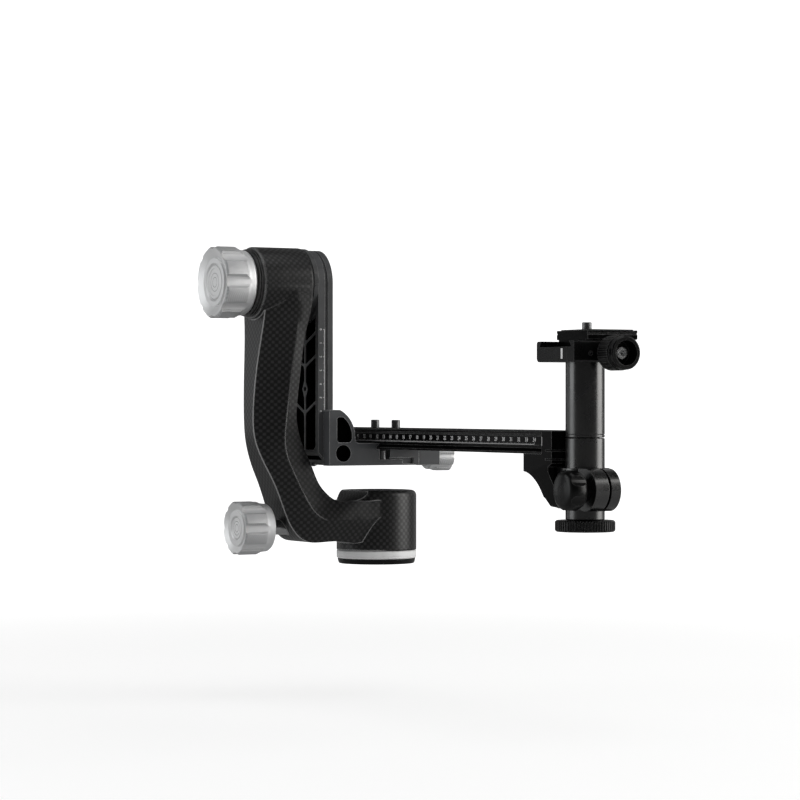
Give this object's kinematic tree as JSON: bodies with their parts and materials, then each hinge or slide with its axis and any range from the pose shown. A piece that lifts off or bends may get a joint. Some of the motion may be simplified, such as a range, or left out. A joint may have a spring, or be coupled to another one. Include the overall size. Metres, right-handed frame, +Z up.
{
  "type": "gimbal tripod head",
  "caption": "Side-mount gimbal tripod head with curved carbon-look yoke, lock knobs, sliding cradle, long lens rail and camera support post.",
  "frame": {"origin": "centre of the base plate's bottom face, at the mouth of the tripod thread", "axes": "+Z up along the pan axis, X along the tilt axis with the lock knobs on the -X side, the lens looks along +Y and the camera post is at -Y"},
  "size_m": [0.198, 0.417, 0.2345],
  "materials": {
    "carbon_arm": "woven carbon look, satin",
    "bare_aluminium": "bead blasted with bright turned chamfers",
    "grey_anodised": "satin dark grey anodised",
    "black_anodised": "satin black anodised",
    "gloss_black": "glossy black anodised with white scale",
    "steel": "turned stainless steel",
    "black_steel": "black oxide steel",
    "brass": "plain turned",
    "friction_plastic": "plain moulded",
    "pad_rubber": "fine ribbed"
  },
  "bodies": {
    "base": {"base_plate": "black_anodised", "base_ring": "bare_aluminium", "base_screws": "steel", "pan_spindle": "steel", "spindle_nut": "steel"},
    "yoke": {"yoke": "carbon_arm", "hub_cap": "bare_aluminium", "pan_bearing_lower": "steel", "pan_bearing_upper": "steel", "pan_brake_shoe": "brass", "pan_lock_bush": "steel", "tilt_bearing_outer": "steel", "tilt_bearing_inner": "steel", "tilt_brake_disc": "friction_plastic", "tilt_collar": "black_anodised"},
    "pan_lock": {"pan_knob": "bare_aluminium", "pan_knob_cap": "bare_aluminium", "pan_lock_stud": "steel"},
    "tilt_lock": {"tilt_knob": "bare_aluminium", "tilt_knob_cap": "bare_aluminium", "tilt_lock_stud": "steel"},
    "swing": {"swing_arm": "grey_anodised", "tilt_shaft": "steel", "shaft_clip": "steel", "arm_screws": "black_steel", "arm_stop_screw": "steel"},
    "cradle_slider": {"cradle": "grey_anodised", "height_gib": "friction_plastic", "jaw_guides": "steel", "jaw_spring": "steel"},
    "height_lock": {"height_knob": "bare_aluminium", "height_lock_stud": "steel"},
    "rail_pin": {"safety_pin": "steel"},
    "moving_jaw": {"clamp_jaw": "black_anodised"},
    "jaw_knob": {"clamp_knob": "bare_aluminium", "clamp_screw": "steel"},
    "rail": {"lens_rail": "gloss_black", "lens_screws": "steel", "rail_stop_screws": "black_steel", "end_bracket": "black_anodised", "bracket_screws": "black_steel", "post_collar": "black_anodised"},
    "collar_lock": {"collar_knob": "black_anodised", "collar_screw": "steel"},
    "post": {"post_sleeve": "black_anodised"},
    "wheel": {"height_wheel": "black_anodised", "lead_screw": "steel", "screw_clip": "steel"},
    "tube": {"post_tube": "black_anodised", "camera_clamp": "black_anodised", "clamp_bolt": "black_steel", "camera_jaw_guides": "steel"},
    "camera_side_jaw": {"camera_jaw": "black_anodised"},
    "camera_lock": {"camera_knob": "black_anodised", "camera_clamp_screw": "steel"},
    "plate": {"camera_plate": "black_anodised", "plate_pad": "pad_rubber", "camera_screw": "steel", "plate_stop_screws": "black_steel"}
  },
  "joints": [
    {"name": "pan_turn", "type": "hinge", "parent": "base", "child": "yoke", "pos_m": [0, 0, 0], "axis": [0, 0, 1], "continuous": true},
    {"name": "pan_lock_turn", "type": "hinge", "parent": "yoke", "child": "pan_lock", "pos_m": [-0.1, 0, 0.0284], "axis": [-1, 0, 0], "range_deg": [0, 360]},
    {"name": "tilt_swing", "type": "hinge", "parent": "yoke", "child": "swing", "pos_m": [-0.08, 0, 0.208], "axis": [1, 0, 0], "range_deg": [-50, 25]},
    {"name": "tilt_lock_turn", "type": "hinge", "parent": "yoke", "child": "tilt_lock", "pos_m": [-0.12, 0, 0.208], "axis": [-1, 0, 0], "range_deg": [0, 360]},
    {"name": "cradle_slide", "type": "slide", "parent": "swing", "child": "cradle_slider", "axis": [0, 0, 1], "range_m": [0, 0.06]},
    {"name": "height_lock_turn", "type": "hinge", "parent": "cradle_slider", "child": "height_lock", "pos_m": [-0.0523, 0.045, 0.097], "axis": [0, 1, 0], "range_deg": [0, 360]},
    {"name": "jaw_slide", "type": "slide", "parent": "cradle_slider", "child": "moving_jaw", "axis": [1, 0, 0], "range_m": [0, 0.005]},
    {"name": "jaw_knob_turn", "type": "hinge", "parent": "moving_jaw", "child": "jaw_knob", "pos_m": [0.045, 0, 0.08], "axis": [1, 0, 0], "range_deg": [0, 1441]},
    {"name": "rail_pin_press", "type": "slide", "parent": "cradle_slider", "child": "rail_pin", "axis": [0, 0, -1], "range_m": [0, 0.0025], "stiffness_N_per_m": 500, "springref_m": -0.002},
    {"name": "rail_slide", "type": "slide", "parent": "cradle_slider", "child": "rail", "axis": [0, 1, 0], "range_m": [-0.039, 0.195]},
    {"name": "collar_lock_turn", "type": "hinge", "parent": "rail", "child": "collar_lock", "pos_m": [-0.02, -0.307, 0.063], "axis": [-1, 0, 0], "range_deg": [0, 360]},
    {"name": "post_slide", "type": "slide", "parent": "rail", "child": "post", "axis": [0, 0, 1], "range_m": [-0.018, 0.006]},
    {"name": "wheel_turn", "type": "hinge", "parent": "post", "child": "wheel", "pos_m": [0, -0.289, 0.0388], "axis": [0, 0, -1], "range_deg": [0, 3601]},
    {"name": "tube_lift", "type": "slide", "parent": "post", "child": "tube", "axis": [0, 0, 1], "range_m": [0, 0.02]},
    {"name": "camera_jaw_slide", "type": "slide", "parent": "tube", "child": "camera_side_jaw", "axis": [0, -1, 0], "range_m": [0, 0.004]},
    {"name": "camera_lock_turn", "type": "hinge", "parent": "camera_side_jaw", "child": "camera_lock", "pos_m": [0.0043, -0.32, 0.1526], "axis": [0, -1, 0], "range_deg": [0, 1441]},
    {"name": "plate_slide", "type": "slide", "parent": "tube", "child": "plate", "axis": [1, 0, 0], "range_m": [-0.005, 0.008]}
  ],
  "couplings": [
    {"joint": "jaw_knob_turn", "follows": "jaw_slide", "rad_per_m": 5026.5},
    {"joint": "wheel_turn", "follows": "tube_lift", "rad_per_m": 3141.6},
    {"joint": "camera_lock_turn", "follows": "camera_jaw_slide", "rad_per_m": 6283.2}
  ]
}
